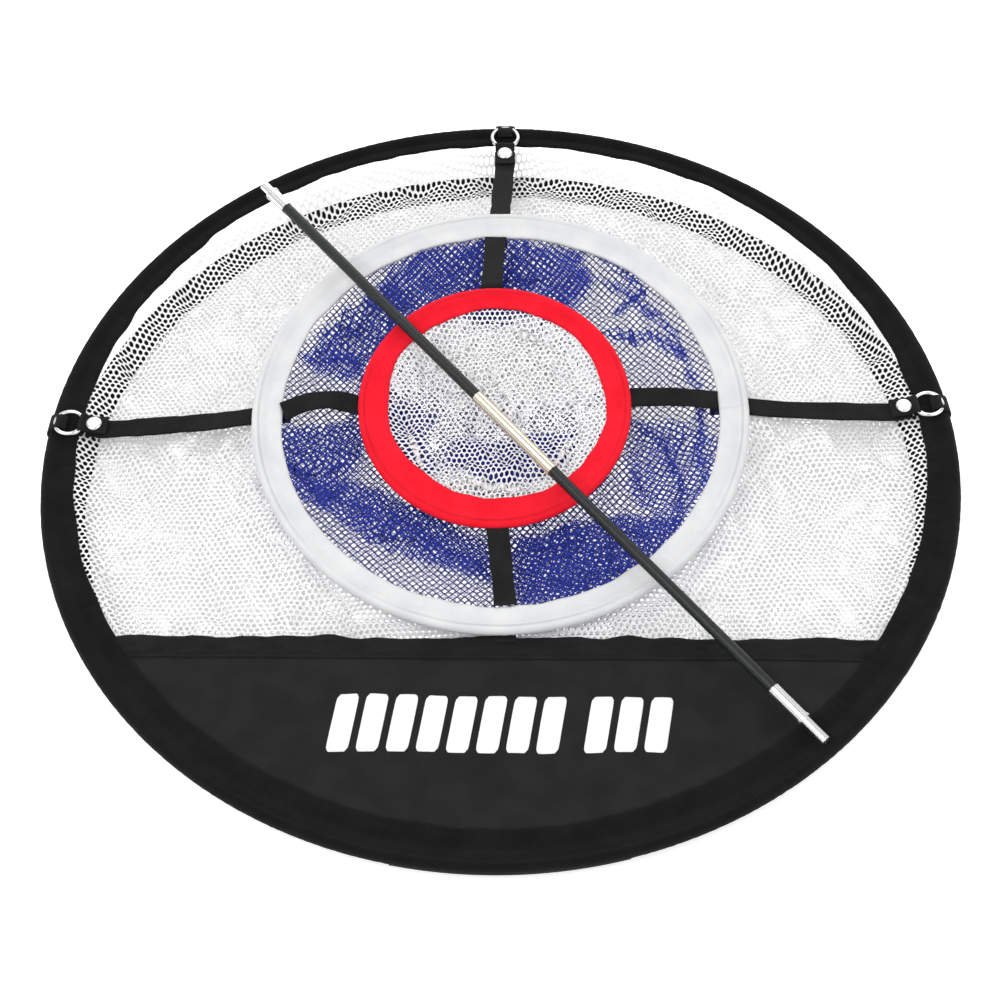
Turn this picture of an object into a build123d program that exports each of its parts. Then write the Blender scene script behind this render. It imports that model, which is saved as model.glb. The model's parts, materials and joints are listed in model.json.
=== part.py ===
from build123d import *
from math import asin, cos, degrees, radians, sin, sqrt
import os

# A pop-up golf chipping net, folded flat: a base hoop on the ground, a target hoop hinged to it at the
# front, two smaller hoops hung inside the target hoop on webbing straps, nets between them, and a two-piece
# prop pole. Millimetres, +Z up, -Y is the front (the hinge side). The origin is on the ground under the
# middle of the net.

# Driving dimensions
TARGET_DIAMETER = 510.0
BASE_DIAMETER = 500.0
MIDDLE_DIAMETER = 277.0
CENTRE_DIAMETER = 152.0
TARGET_TILT = 3.2

# The two inner hoops: where each centre lies over the target hoop's plane, and its tilt from that plane
MIDDLE_PLACE = (1.0, 20.0, 16.0)
MIDDLE_TILT = 5.0
CENTRE_PLACE = (-2.0, 22.0, 20.9)
CENTRE_TILT = 9.0

# Fabric sleeves: a round bead holds the wire at the outer edge, and a flat tail points inwards
BIG_BEAD = 3.6
BIG_TAIL = 1.2
BIG_SLEEVE_WIDTH = 17.0
MIDDLE_BEAD = 3.2
MIDDLE_SLEEVE_WIDTH = 16.5
CENTRE_BEAD = 2.8
CENTRE_SLEEVE_WIDTH = 14.0
WIRE_SLACK = 0.2
PRESSED_FLAT = 0.05

# Spring-steel wires and the tubes crimped over their ends
BIG_WIRE = 1.5
MIDDLE_WIRE = 1.2
CENTRE_WIRE = 1.0
JOINER_WALL = 0.8
JOINER_LENGTH = 30.0
JOINER_END_GAP = 1.0
WIRE_END_GAP = 1.6
JOIN_ANGLE = 205.0

# Hinge at the front
HINGE_TAPE = 0.8
HINGE_GAP = 0.3
HINGE_ARC = 30.0
HINGE_SETBACK = 5.0

# Nets
NET = 1.2
FLOOR_NET_HEIGHT = 1.2
SIDE_NET_FLOOR = 3.0
SIDE_NET_FOLD_RADIUS = 128.0
SIDE_NET_DROP = 5.3
NET_CLEARANCE = 2.0
MIDDLE_POCKET_DEPTH = 18.0
CENTRE_POCKET_DEPTH = 13.0
POCKET_FLOOR_SHARE = 0.62

# Front panel
PANEL = 0.8
PANEL_TURN = -2.1
PANEL_EDGE = -129.0
BINDING_EDGE = -117.6
BINDING = 1.8
SEAM_CLEARANCE = 0.4

# Print on the panel: two groups of slanted bars
BAR_COUNTS = (8, 3)
BAR_WIDTH = 11.5
BAR_HEIGHT = 33.0
BAR_PITCH = 15.4
BAR_SLANT = 5.0
GROUP_GAP = 9.0
PRINT_CENTRE = (3.2, -170.0)
PRINT = 0.3

# Webbing
WEBBING_WIDTH = 12.0
WEBBING = 1.2
INNER_STRAP_ANGLES = {"right": 2.0, "rear": 90.0, "left": 178.0, "front": 270.0}
FRONT_STRAP_X = 0.5
FRONT_STRAP_RISE = 0.3
FRONT_STRAP_END = -102.0

# Tabs that hold the O-rings on the target hoop
TAB_WIDTH = 20.0
TAB_TONGUE_WIDTH = 10.0
TAB_WEBBING = 1.0
TAB_START = 2.0
TAB_RISE = 4.2
TAB_SHOULDER = 1.4
TAB_OVERLAP = 0.6
TAB_TONGUE_BEND = 0.9
TAB_WRAP_BEND = 0.5
TAB_SIDE_DROP = 2.9
TAB_CORNER_DROP = 0.8
TAB_UNDER_LENGTH = 9.0

# Where each outer strap leaves the target hoop, and where it ends at the middle hoop
OUTER_STRAPS = {
    "right": (6.5, (126.0, 24.0, 12.5)),
    "rear": (88.0, (2.0, 145.0, 22.5)),
    "left": (173.0, (-124.0, 26.0, 12.5)),
}

# O-rings and press studs
O_RING_RADIUS = 7.8
O_RING_WIRE = 1.2
O_RING_CENTRE = 243.5
O_RING_HEIGHT = 5.2
STUD_REACH = 6.4
STUD_CAP_RADIUS = 4.6
STUD_CAP_HEIGHT = 1.6
SOCKET_RADIUS = 4.4
SOCKET_HEIGHT = 1.1
SOCKET_BORE = 2.2
POST_RADIUS = 1.8
POST_HEIGHT = 1.0
POST_BASE = 0.5
FLAP_START = 1.9
FLAP_LENGTH = 12.0
STUD_CLEARANCE = 0.2
CAP_ROUND = 1.3
STRAP_BEND_GAP = 2.0

# Prop pole, from the upper end to the lower end
POLE_UPPER_END = (-133.0, 168.0, 47.4)
POLE_LOWER_END = (162.0, -189.0, 7.9)
ROD_RADIUS = 3.1
ROD_BORE = 1.7
FERRULE_RADIUS = 3.5
FERRULE_START = 191.5
FERRULE_LENGTH = 63.0
FIT = 0.04
FITTING_RADIUS = 3.6
COLLAR_RADIUS = 4.1
COLLAR_LENGTH = 1.6
NOSE_RADIUS = 2.8
NOSE_BORE = 2.2
UPPER_NOSE = 8.7
UPPER_SOCKET = 12.5
LOWER_NOSE = 17.0
LOWER_SOCKET = 21.5
WEB = 1.5
CORD_RADIUS = 1.1
CORD_SLACK = 0.1
KNOT_RADIUS = 1.9
KNOT_LENGTH = 3.6

# Derived places
TARGET_WIRE_RADIUS = TARGET_DIAMETER / 2 - BIG_BEAD
BASE_WIRE_RADIUS = BASE_DIAMETER / 2 - BIG_BEAD
HINGE_Y = HINGE_SETBACK - TARGET_WIRE_RADIUS
HINGE_Z = BIG_BEAD
TARGET_FRONT_Z = HINGE_Z + 2 * BIG_BEAD + HINGE_TAPE + 2 * HINGE_GAP


def tilted_plane(origin, tilt):
    """A plane at origin that faces up and leans by tilt degrees, with its rear side the higher."""
    lean = radians(tilt)
    return Plane(origin=origin, x_dir=(1, 0, 0), z_dir=(0, -sin(lean), cos(lean)))


base_plane = Plane(origin=(0, HINGE_Y + BASE_WIRE_RADIUS, 0), x_dir=(1, 0, 0), z_dir=(0, 0, 1))
target_plane = tilted_plane(
    (
        0,
        TARGET_WIRE_RADIUS * cos(radians(TARGET_TILT)) - TARGET_WIRE_RADIUS,
        TARGET_FRONT_Z + TARGET_WIRE_RADIUS * sin(radians(TARGET_TILT)),
    ),
    TARGET_TILT,
)

panel_plane = target_plane.rotated((0, 0, PANEL_TURN))


def on_target(x, y, height):
    """A point given by its place on the target hoop's plane and its height above it."""
    return target_plane.from_local_coords(Vector(x, y, height))


middle_plane = tilted_plane(on_target(*MIDDLE_PLACE), TARGET_TILT + MIDDLE_TILT)
centre_plane = tilted_plane(on_target(*CENTRE_PLACE), TARGET_TILT + CENTRE_TILT)


def save(piece, label):
    """Names a finished piece and writes its file."""
    piece.part.label = label
    export_step(piece.part, f"parts/{label}.step")


def hoop_axis(hoop):
    return Axis(hoop.origin, hoop.z_dir)


def section_plane(hoop, angle):
    """The upright plane through a hoop's axis at an angle: X points outwards and Y along the axis."""
    outward = hoop.x_dir * cos(radians(angle)) + hoop.y_dir * sin(radians(angle))
    return Plane(origin=hoop.origin, x_dir=outward, z_dir=outward.cross(hoop.z_dir))


def make_hoop_wire(label, hoop, radius, height, wire):
    """A ring of wire with a small gap between its two ends."""
    gap = degrees(WIRE_END_GAP / radius)
    with BuildPart() as ring:
        with BuildSketch(section_plane(hoop, JOIN_ANGLE + gap / 2)):
            with Locations((radius, height)):
                Circle(wire)
        revolve(axis=hoop_axis(hoop), revolution_arc=360 - gap)
    save(ring, label)


def make_joiner(label, hoop, radius, height, wire):
    """The tube crimped over the two ends of a hoop's wire."""
    arc = degrees(JOINER_LENGTH / radius)
    with BuildPart() as tube:
        with BuildSketch(section_plane(hoop, JOIN_ANGLE - arc / 2)):
            with Locations((radius, height)):
                Circle(wire + JOINER_WALL)
                Circle(wire, mode=Mode.SUBTRACT)
        revolve(axis=hoop_axis(hoop), revolution_arc=arc)
    save(tube, label)


def make_sleeve(label, hoop, radius, height, bead, tail_height, width, wire):
    """A fabric sleeve: a bead round the wire and a flat tail pointing inwards, hollow for the wire.

    A sleeve that lies on the ground is pressed flat there.
    """
    tail_radius = radius - (width - bead - BIG_TAIL)
    arc = degrees((JOINER_LENGTH + 2 * JOINER_END_GAP) / radius)
    with BuildPart() as sleeve:
        with BuildSketch(section_plane(hoop, 0)):
            with Locations((radius, height)):
                Circle(bead)
            with Locations((tail_radius, tail_height)):
                Circle(BIG_TAIL)
            make_hull()
            with Locations((radius, height)):
                Circle(wire + WIRE_SLACK, mode=Mode.SUBTRACT)
        revolve(axis=hoop_axis(hoop))
        with BuildSketch(section_plane(hoop, JOIN_ANGLE - arc / 2)):
            with Locations((radius, height)):
                Circle(wire + JOINER_WALL + WIRE_SLACK)
        revolve(axis=hoop_axis(hoop), revolution_arc=arc, mode=Mode.SUBTRACT)
        split(bisect_by=Plane.XY, keep=Keep.TOP)
    save(sleeve, label)


def make_hoop(name, hoop, diameter, height, bead, tail_height, width, wire):
    """A complete hoop: wire, joiner and sleeve."""
    radius = diameter / 2 - bead
    make_hoop_wire(f"{name}_wire", hoop, radius, height, wire)
    make_joiner(f"{name}_wire_joiner", hoop, radius, height, wire)
    make_sleeve(f"{name}_sleeve", hoop, radius, height, bead, tail_height, width, wire)


def make_pocket(name, hoop, edge_radius, depth):
    """A shallow net bag below a hoop, open at the top: a sloping wall and a flat floor sewn to it."""
    floor_radius = edge_radius * POCKET_FLOOR_SHARE
    with BuildPart() as wall:
        with BuildSketch(section_plane(hoop, 0)):
            with BuildLine():
                Polyline(
                    (edge_radius, 0),
                    (edge_radius, -NET),
                    (floor_radius, -depth - NET),
                    (floor_radius, -depth),
                    close=True,
                )
            make_face()
        revolve(axis=hoop_axis(hoop))
    save(wall, name)
    with BuildPart() as floor:
        with BuildSketch(hoop.offset(-depth - NET)):
            Circle(floor_radius)
        extrude(amount=NET)
    save(floor, f"{name}_floor")


def strap_plane(start, end):
    """A plane whose X runs from start to end and whose face leans as the target hoop's does."""
    along = (end - start).normalized()
    across = target_plane.z_dir.cross(along)
    return Plane(origin=start, x_dir=along, z_dir=along.cross(across))


def make_strap(label, start, end):
    """A straight flat length of webbing between two points."""
    length = (end - start).length
    with BuildPart() as strap:
        with BuildSketch(strap_plane(start, end)):
            with Locations((length / 2, 0)):
                Rectangle(length, WEBBING_WIDTH)
        extrude(amount=WEBBING / 2, both=True)
    save(strap, label)


def make_floor_net():
    with BuildPart() as net:
        with BuildSketch(base_plane.offset(FLOOR_NET_HEIGHT)):
            Circle(BASE_DIAMETER / 2 - BIG_SLEEVE_WIDTH - SEAM_CLEARANCE)
        extrude(amount=NET)
    save(net, "floor_net")


def make_hinge_tape():
    """Tape wrapped over the front of the base hoop's sleeve, where the target hoop is sewn to it."""
    inner = BIG_BEAD + HINGE_GAP
    with BuildPart() as tape:
        with BuildSketch(section_plane(base_plane, 270 - HINGE_ARC / 2)):
            with Locations((BASE_WIRE_RADIUS, HINGE_Z)):
                Circle(inner + HINGE_TAPE)
                Circle(inner, mode=Mode.SUBTRACT)
                Rectangle(
                    BIG_SLEEVE_WIDTH,
                    BIG_SLEEVE_WIDTH,
                    align=(Align.MIN, Align.MIN),
                    mode=Mode.INTERSECT,
                )
        revolve(axis=hoop_axis(base_plane), revolution_arc=HINGE_ARC)
    save(tape, "front_hinge_tape")


def make_side_net():
    """The net wall between the two big hoops, folded inwards: two sheets joined at the fold."""
    upper_edge = TARGET_DIAMETER / 2 - BIG_SLEEVE_WIDTH - NET_CLEARANCE
    lower_edge = BASE_DIAMETER / 2 - BIG_SLEEVE_WIDTH - NET_CLEARANCE
    tall = TARGET_DIAMETER / 4
    fold_plane = Plane(origin=(0, target_plane.origin.Y, SIDE_NET_FLOOR), x_dir=(1, 0, 0), z_dir=(0, 0, 1))
    fold_centre = (middle_plane.origin.X, middle_plane.origin.Y - target_plane.origin.Y)
    with BuildPart() as space:
        with BuildSketch(fold_plane.offset(NET)):
            Circle(TARGET_DIAMETER / 2)
            with Locations(fold_centre):
                Circle(SIDE_NET_FOLD_RADIUS + NET, mode=Mode.SUBTRACT)
        extrude(amount=tall)
        split(bisect_by=target_plane.offset(-SIDE_NET_DROP - NET), keep=Keep.BOTTOM)
    with BuildPart() as rim_space:
        with BuildSketch(base_plane.offset(SIDE_NET_FLOOR - NET)):
            Circle(TARGET_DIAMETER)
            Circle(lower_edge, mode=Mode.SUBTRACT)
        extrude(amount=2 * NET)
    with BuildPart() as net:
        with BuildSketch(fold_plane):
            Circle(upper_edge)
            with Locations(fold_centre):
                Circle(SIDE_NET_FOLD_RADIUS, mode=Mode.SUBTRACT)
        extrude(amount=tall)
        split(bisect_by=target_plane.offset(-SIDE_NET_DROP), keep=Keep.BOTTOM)
        add(space.part, mode=Mode.SUBTRACT)
        add(rim_space.part, mode=Mode.SUBTRACT)
    save(net, "side_net")


def make_panel():
    """The cloth across the front of the target hoop, and the tape that binds its straight edge."""
    edge = TARGET_DIAMETER / 2 - BIG_SLEEVE_WIDTH - SEAM_CLEARANCE
    with BuildPart() as panel:
        with BuildSketch(panel_plane):
            Circle(edge)
            with Locations((0, PANEL_EDGE - edge)):
                Rectangle(2 * edge, 2 * edge, mode=Mode.INTERSECT)
        extrude(amount=PANEL / 2, both=True)
    save(panel, "front_panel")
    with BuildPart() as binding:
        with BuildSketch(panel_plane):
            Circle(edge)
            with Locations((0, (PANEL_EDGE + BINDING_EDGE) / 2)):
                Rectangle(2 * edge, BINDING_EDGE - PANEL_EDGE, mode=Mode.INTERSECT)
        extrude(amount=BINDING / 2, both=True)
    save(binding, "panel_binding")


def make_panel_print():
    """Slanted bars printed on the panel, in two groups."""
    total = (sum(BAR_COUNTS) - 1) * BAR_PITCH + GROUP_GAP
    with BuildPart() as bars:
        with BuildSketch(panel_plane.offset(PANEL / 2)):
            x = PRINT_CENTRE[0] - total / 2
            for count in BAR_COUNTS:
                for _ in range(count):
                    with BuildLine(mode=Mode.PRIVATE) as outline:
                        Polyline(
                            (x - BAR_WIDTH / 2 - BAR_SLANT / 2, PRINT_CENTRE[1] - BAR_HEIGHT / 2),
                            (x + BAR_WIDTH / 2 - BAR_SLANT / 2, PRINT_CENTRE[1] - BAR_HEIGHT / 2),
                            (x + BAR_WIDTH / 2 + BAR_SLANT / 2, PRINT_CENTRE[1] + BAR_HEIGHT / 2),
                            (x - BAR_WIDTH / 2 + BAR_SLANT / 2, PRINT_CENTRE[1] + BAR_HEIGHT / 2),
                            close=True,
                        )
                    make_face(outline.edges())
                    x += BAR_PITCH
                x += GROUP_GAP
        extrude(amount=PRINT)
    save(bars, "panel_print")


def make_ring_station(side, angle, strap_end):
    """Everything where a strap meets the target hoop: tab, O-ring, strap, flap and press stud."""
    radial = section_plane(target_plane, angle)
    outward = radial.x_dir
    up = target_plane.z_dir

    def at(radius, height):
        return target_plane.origin + outward * radius + up * height

    ring_plane = Plane(origin=at(O_RING_CENTRE, O_RING_HEIGHT), x_dir=outward, z_dir=up)
    with BuildPart() as ring:
        with BuildSketch(section_plane(ring_plane, 0)):
            with Locations((O_RING_RADIUS, 0)):
                Circle(O_RING_WIRE)
        revolve(axis=hoop_axis(ring_plane))
    save(ring, f"{side}_o_ring")

    # The tab's narrow tongue starts inside the O-ring and passes over its outer side
    # The wide part wraps the sleeve
    wire_top = O_RING_HEIGHT + O_RING_WIRE + HINGE_GAP + TAB_WEBBING / 2
    outer = TARGET_DIAMETER / 2 + HINGE_GAP + TAB_WEBBING / 2
    under = BIG_BEAD + HINGE_GAP + TAB_WEBBING / 2
    shoulder = (O_RING_CENTRE + O_RING_RADIUS + O_RING_WIRE + TAB_SHOULDER, wire_top)
    with BuildPart() as tab:
        with BuildSketch(radial):
            with BuildLine():
                FilletPolyline(
                    (O_RING_CENTRE + TAB_START, O_RING_HEIGHT - O_RING_WIRE),
                    (O_RING_CENTRE + TAB_RISE, wire_top),
                    shoulder,
                    (outer, BIG_BEAD / 2),
                    radius=TAB_TONGUE_BEND,
                )
            trace(line_width=TAB_WEBBING)
        extrude(amount=TAB_TONGUE_WIDTH / 2, both=True)
        with BuildSketch(radial):
            with BuildLine():
                FilletPolyline(
                    (shoulder[0] - TAB_OVERLAP, wire_top),
                    shoulder,
                    (outer, BIG_BEAD / 2),
                    (outer, -TAB_SIDE_DROP),
                    (TARGET_WIRE_RADIUS + TAB_OVERLAP, -under - TAB_CORNER_DROP),
                    (TARGET_WIRE_RADIUS - TAB_UNDER_LENGTH, -under),
                    radius=TAB_WRAP_BEND,
                )
            trace(line_width=TAB_WEBBING)
        extrude(amount=TAB_WIDTH / 2, both=True)
    save(tab, f"{side}_ring_tab")

    hinge_radius = O_RING_CENTRE - O_RING_RADIUS
    flap_radius = hinge_radius - FLAP_START
    flap_top = O_RING_HEIGHT + WEBBING / 2
    flap_bottom = O_RING_HEIGHT - WEBBING / 2
    strap_top = flap_bottom - SOCKET_HEIGHT - POST_BASE - STUD_CLEARANCE
    stud_radius = hinge_radius - STUD_REACH

    # The strap is level under the press stud, then climbs to the middle hoop
    strap_start = at(flap_radius, strap_top - WEBBING / 2)
    bend = at(stud_radius - SOCKET_RADIUS - STRAP_BEND_GAP, strap_top - WEBBING / 2)
    rise = strap_plane(bend, strap_end)
    bar_length = (strap_end - bend).length
    level = strap_plane(strap_start, bend)
    level_length = (bend - strap_start).length
    with BuildPart() as strap:
        with BuildSketch(level):
            with Locations((level_length / 2, 0)):
                Rectangle(level_length, WEBBING_WIDTH)
        extrude(amount=WEBBING / 2, both=True)
        with BuildSketch(rise):
            with Locations((bar_length / 2 - WEBBING / 4, 0)):
                Rectangle(bar_length + WEBBING / 2, WEBBING_WIDTH)
        extrude(amount=WEBBING / 2, both=True)
    save(strap, f"{side}_outer_strap")

    with BuildPart() as flap:
        with BuildSketch(Plane(origin=at(flap_radius, O_RING_HEIGHT), x_dir=outward, z_dir=up)):
            with Locations((-FLAP_LENGTH / 2, 0)):
                Rectangle(FLAP_LENGTH, WEBBING_WIDTH)
        extrude(amount=WEBBING / 2, both=True)
    save(flap, f"{side}_strap_flap")

    with BuildPart() as cap:
        with BuildSketch(Plane(origin=at(stud_radius, flap_top), x_dir=outward, z_dir=up)):
            Circle(STUD_CAP_RADIUS)
        extrude(amount=STUD_CAP_HEIGHT)
        fillet(cap.edges().sort_by(Axis(at(0, 0), up))[-1], radius=CAP_ROUND)
    save(cap, f"{side}_stud_cap")

    with BuildPart() as socket:
        with BuildSketch(Plane(origin=at(stud_radius, flap_bottom), x_dir=outward, z_dir=up)):
            Circle(SOCKET_RADIUS)
            Circle(SOCKET_BORE, mode=Mode.SUBTRACT)
        extrude(amount=-SOCKET_HEIGHT)
    save(socket, f"{side}_stud_socket")

    with BuildPart() as post:
        with BuildSketch(Plane(origin=at(stud_radius, strap_top), x_dir=outward, z_dir=up)):
            Circle(SOCKET_RADIUS)
        extrude(amount=POST_BASE)
        with BuildSketch(Plane(origin=at(stud_radius, strap_top + POST_BASE), x_dir=outward, z_dir=up)):
            Circle(POST_RADIUS)
        extrude(amount=POST_HEIGHT)
    save(post, f"{side}_stud_post")


def make_middle_straps():
    """Four short straps from the middle hoop in to the centre hoop, just above the middle net's rim."""
    outer = MIDDLE_DIAMETER / 2 - MIDDLE_SLEEVE_WIDTH - 2 * SEAM_CLEARANCE
    inner = CENTRE_DIAMETER / 2 + 2 * SEAM_CLEARANCE
    for side, angle in INNER_STRAP_ANGLES.items():
        turn = radians(angle)
        start = middle_plane.from_local_coords(Vector(outer * cos(turn), outer * sin(turn), WEBBING))
        end = centre_plane.from_local_coords(Vector(inner * cos(turn), inner * sin(turn), 0))
        make_strap(f"{side}_inner_strap", start, end)


def make_pole():
    """Two hollow rods joined by a ferrule, an end fitting on each, and an elastic cord inside."""
    upper = on_target(*POLE_UPPER_END)
    lower = on_target(*POLE_LOWER_END)
    length = (lower - upper).length
    pole = Plane(origin=upper, z_dir=(lower - upper).normalized())
    ferrule_middle = FERRULE_START + FERRULE_LENGTH / 2

    def tube(start, end, radius, bore):
        """A length of tube along the pole."""
        with BuildPart() as piece:
            with BuildSketch(pole.offset(start)):
                Circle(radius)
                Circle(bore, mode=Mode.SUBTRACT)
            extrude(amount=end - start)
        return piece

    def fitting(label, nose, socket, seat, side):
        """An end fitting: hollow nose, collar and rod socket. side is 1 on the pole's upper end."""
        end_plane = pole.offset(seat)
        facing = Plane(origin=end_plane.origin, x_dir=end_plane.x_dir, z_dir=end_plane.z_dir * side)
        with BuildPart() as piece:
            with BuildSketch(facing):
                Circle(NOSE_RADIUS)
            extrude(amount=nose)
            with BuildSketch(facing.offset(nose - COLLAR_LENGTH)):
                Circle(COLLAR_RADIUS)
            extrude(amount=COLLAR_LENGTH)
            with BuildSketch(facing.offset(nose)):
                Circle(FITTING_RADIUS)
            extrude(amount=socket)
            with BuildSketch(facing):
                Circle(NOSE_BORE)
            extrude(amount=nose - WEB, mode=Mode.SUBTRACT)
            with BuildSketch(facing.offset(nose)):
                Circle(ROD_RADIUS + FIT)
            extrude(amount=socket, mode=Mode.SUBTRACT)
            with BuildSketch(facing.offset(nose - WEB)):
                Circle(CORD_RADIUS + CORD_SLACK)
            extrude(amount=WEB, mode=Mode.SUBTRACT)
        save(piece, label)

    save(tube(UPPER_NOSE, ferrule_middle - FIT, ROD_RADIUS, ROD_BORE), "upper_rod")
    save(tube(ferrule_middle + FIT, length - LOWER_NOSE, ROD_RADIUS, ROD_BORE), "lower_rod")
    ferrule_end = FERRULE_START + FERRULE_LENGTH
    save(tube(FERRULE_START, ferrule_end, FERRULE_RADIUS, ROD_RADIUS + FIT), "ferrule")
    fitting("upper_end_fitting", UPPER_NOSE, UPPER_SOCKET, 0, 1)
    fitting("lower_end_fitting", LOWER_NOSE, LOWER_SOCKET, length, -1)

    cord_start = UPPER_NOSE - WEB
    cord_end = length - LOWER_NOSE + WEB
    with BuildPart() as cord:
        with BuildSketch(pole.offset(cord_start)):
            Circle(CORD_RADIUS)
        extrude(amount=cord_end - cord_start)
    save(cord, "shock_cord")
    for label, start in (("upper_cord_knot", cord_start - KNOT_LENGTH), ("lower_cord_knot", cord_end)):
        with BuildPart() as knot:
            with BuildSketch(pole.offset(start)):
                Circle(KNOT_RADIUS)
            extrude(amount=KNOT_LENGTH)
            fillet(knot.edges().filter_by(GeomType.CIRCLE), radius=KNOT_RADIUS / 2)
        save(knot, label)


def make_front_strap():
    """The short strap from the panel's edge to the middle hoop."""
    start = on_target(FRONT_STRAP_X, BINDING_EDGE + SEAM_CLEARANCE, -FRONT_STRAP_RISE)
    end = on_target(FRONT_STRAP_X, FRONT_STRAP_END, FRONT_STRAP_RISE)
    make_strap("front_outer_strap", start, end)


def main():
    os.makedirs("parts", exist_ok=True)
    big = (BIG_SLEEVE_WIDTH, BIG_WIRE)
    base_height = HINGE_Z - PRESSED_FLAT
    base_tail = BIG_TAIL - PRESSED_FLAT
    make_hoop("base_hoop", base_plane, BASE_DIAMETER, base_height, BIG_BEAD, base_tail, *big)
    make_floor_net()
    make_hinge_tape()

    make_hoop("target_hoop", target_plane, TARGET_DIAMETER, 0, BIG_BEAD, 0, *big)
    make_panel()
    make_panel_print()
    make_side_net()

    middle = (MIDDLE_SLEEVE_WIDTH, MIDDLE_WIRE)
    middle_edge = MIDDLE_DIAMETER / 2 - MIDDLE_SLEEVE_WIDTH - SEAM_CLEARANCE
    make_hoop("middle_hoop", middle_plane, MIDDLE_DIAMETER, 0, MIDDLE_BEAD, 0, *middle)
    make_pocket("middle_net", middle_plane, middle_edge, MIDDLE_POCKET_DEPTH)
    make_middle_straps()

    centre = (CENTRE_SLEEVE_WIDTH, CENTRE_WIRE)
    centre_edge = CENTRE_DIAMETER / 2 - CENTRE_SLEEVE_WIDTH - SEAM_CLEARANCE
    make_hoop("centre_hoop", centre_plane, CENTRE_DIAMETER, 0, CENTRE_BEAD, 0, *centre)
    make_pocket("centre_net", centre_plane, centre_edge, CENTRE_POCKET_DEPTH)

    for side, (angle, end) in OUTER_STRAPS.items():
        make_ring_station(side, angle, on_target(*end))
    make_front_strap()
    make_pole()


main()
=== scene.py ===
import json
import math

import bpy
import numpy as np
from mathutils import Matrix, Vector


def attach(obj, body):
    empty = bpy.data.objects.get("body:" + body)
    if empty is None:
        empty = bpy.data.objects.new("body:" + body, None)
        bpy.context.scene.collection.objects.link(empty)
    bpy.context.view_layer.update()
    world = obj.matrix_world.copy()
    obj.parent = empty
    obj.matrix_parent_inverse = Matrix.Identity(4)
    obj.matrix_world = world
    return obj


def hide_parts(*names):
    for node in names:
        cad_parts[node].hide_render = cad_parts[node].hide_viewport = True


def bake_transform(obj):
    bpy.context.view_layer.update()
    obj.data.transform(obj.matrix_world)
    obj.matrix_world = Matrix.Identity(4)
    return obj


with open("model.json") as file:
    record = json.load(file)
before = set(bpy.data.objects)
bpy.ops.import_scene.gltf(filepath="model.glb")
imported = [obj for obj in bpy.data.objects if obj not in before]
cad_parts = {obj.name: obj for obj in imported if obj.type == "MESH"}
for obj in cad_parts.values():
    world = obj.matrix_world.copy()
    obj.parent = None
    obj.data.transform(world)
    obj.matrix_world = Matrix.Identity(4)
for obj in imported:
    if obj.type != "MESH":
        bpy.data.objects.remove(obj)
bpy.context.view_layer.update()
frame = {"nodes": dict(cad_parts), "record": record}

MM = 0.001
PI = math.pi


# ---------------------------------------------------------------- the hoops' own frames, in millimetres
class Hoop:
    """A plane that leans back by tilt degrees: local x, s (towards the rear) and h (along its normal)."""

    def __init__(self, origin, tilt):
        t = math.radians(tilt)
        self.origin = np.array(origin, float)
        self.axes = np.array([[1, 0, 0], [0, math.cos(t), math.sin(t)], [0, -math.sin(t), math.cos(t)]])

    def world(self, points):
        """Local millimetres to frame millimetres."""
        return self.origin + np.asarray(points, float) @ self.axes


# The hoops' wire radii, the target's height at its hinge and its lean, as in the CAD
TARGET_WIRE, BASE_WIRE = 251.4, 246.4
FRONT_Z = 12.2
TILT = 3.2
MIDDLE_TILT, CENTRE_TILT = 5.0, 9.0
MIDDLE_PLACE = (1.0, 20.0, 16.0)
CENTRE_PLACE = (-2.0, 22.0, 20.9)
LEAN = math.radians(TILT)
target = Hoop((0, TARGET_WIRE * (math.cos(LEAN) - 1), FRONT_Z + TARGET_WIRE * math.sin(LEAN)), TILT)
base = Hoop((0, 0, 0), 0)
middle = Hoop(target.world([MIDDLE_PLACE])[0], TILT + MIDDLE_TILT)
centre = Hoop(target.world([CENTRE_PLACE])[0], TILT + CENTRE_TILT)


# ---------------------------------------------------------------- small tools
def ripple(seed, count, shortest, longest):
    """A smooth, repeatable random field of x and y in millimetres, about -1 to 1."""
    rng = np.random.default_rng(seed)
    angle = rng.uniform(0, 2 * PI, count)
    length = np.exp(rng.uniform(math.log(shortest), math.log(longest), count))
    phase = rng.uniform(0, 2 * PI, count)
    kx, ky = np.cos(angle) * 2 * PI / length, np.sin(angle) * 2 * PI / length

    def field(x, y):
        x, y = np.asarray(x, float), np.asarray(y, float)
        total = np.zeros(np.broadcast(x, y).shape)
        for a, b, p in zip(kx, ky, phase):
            total += np.sin(a * x + b * y + p)
        return total / math.sqrt(count)

    return field


def smooth(t):
    t = np.clip(t, 0, 1)
    return t * t * (3 - 2 * t)


def bump_at(x, width):
    """1 at x = 0, falling smoothly to 0 at width on both sides."""
    return smooth(1 - np.abs(x) / width)


def mesh_piece(name, points, quads, material, uv=None):
    """A mesh object from points in frame millimetres and quads of point numbers."""
    points = np.asarray(points, float) * MM
    quads = np.asarray(quads, np.int64)
    me = bpy.data.meshes.new(name)
    me.vertices.add(len(points))
    me.vertices.foreach_set("co", points.astype(np.float32).ravel())
    me.loops.add(quads.size)
    me.loops.foreach_set("vertex_index", quads.astype(np.int32).ravel())
    me.polygons.add(len(quads))
    me.polygons.foreach_set("loop_start", np.arange(0, quads.size, quads.shape[1], dtype=np.int32))
    if uv is not None:
        layer = me.uv_layers.new(name="lay")
        layer.data.foreach_set("uv", (np.asarray(uv, float)[quads.ravel()] * MM).astype(np.float32).ravel())
    me.update(calc_edges=True)
    me.validate()
    me.polygons.foreach_set("use_smooth", [True] * len(me.polygons))
    me.materials.append(material)
    obj = bpy.data.objects.new(name, me)
    bpy.context.scene.collection.objects.link(obj)
    return obj


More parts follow.
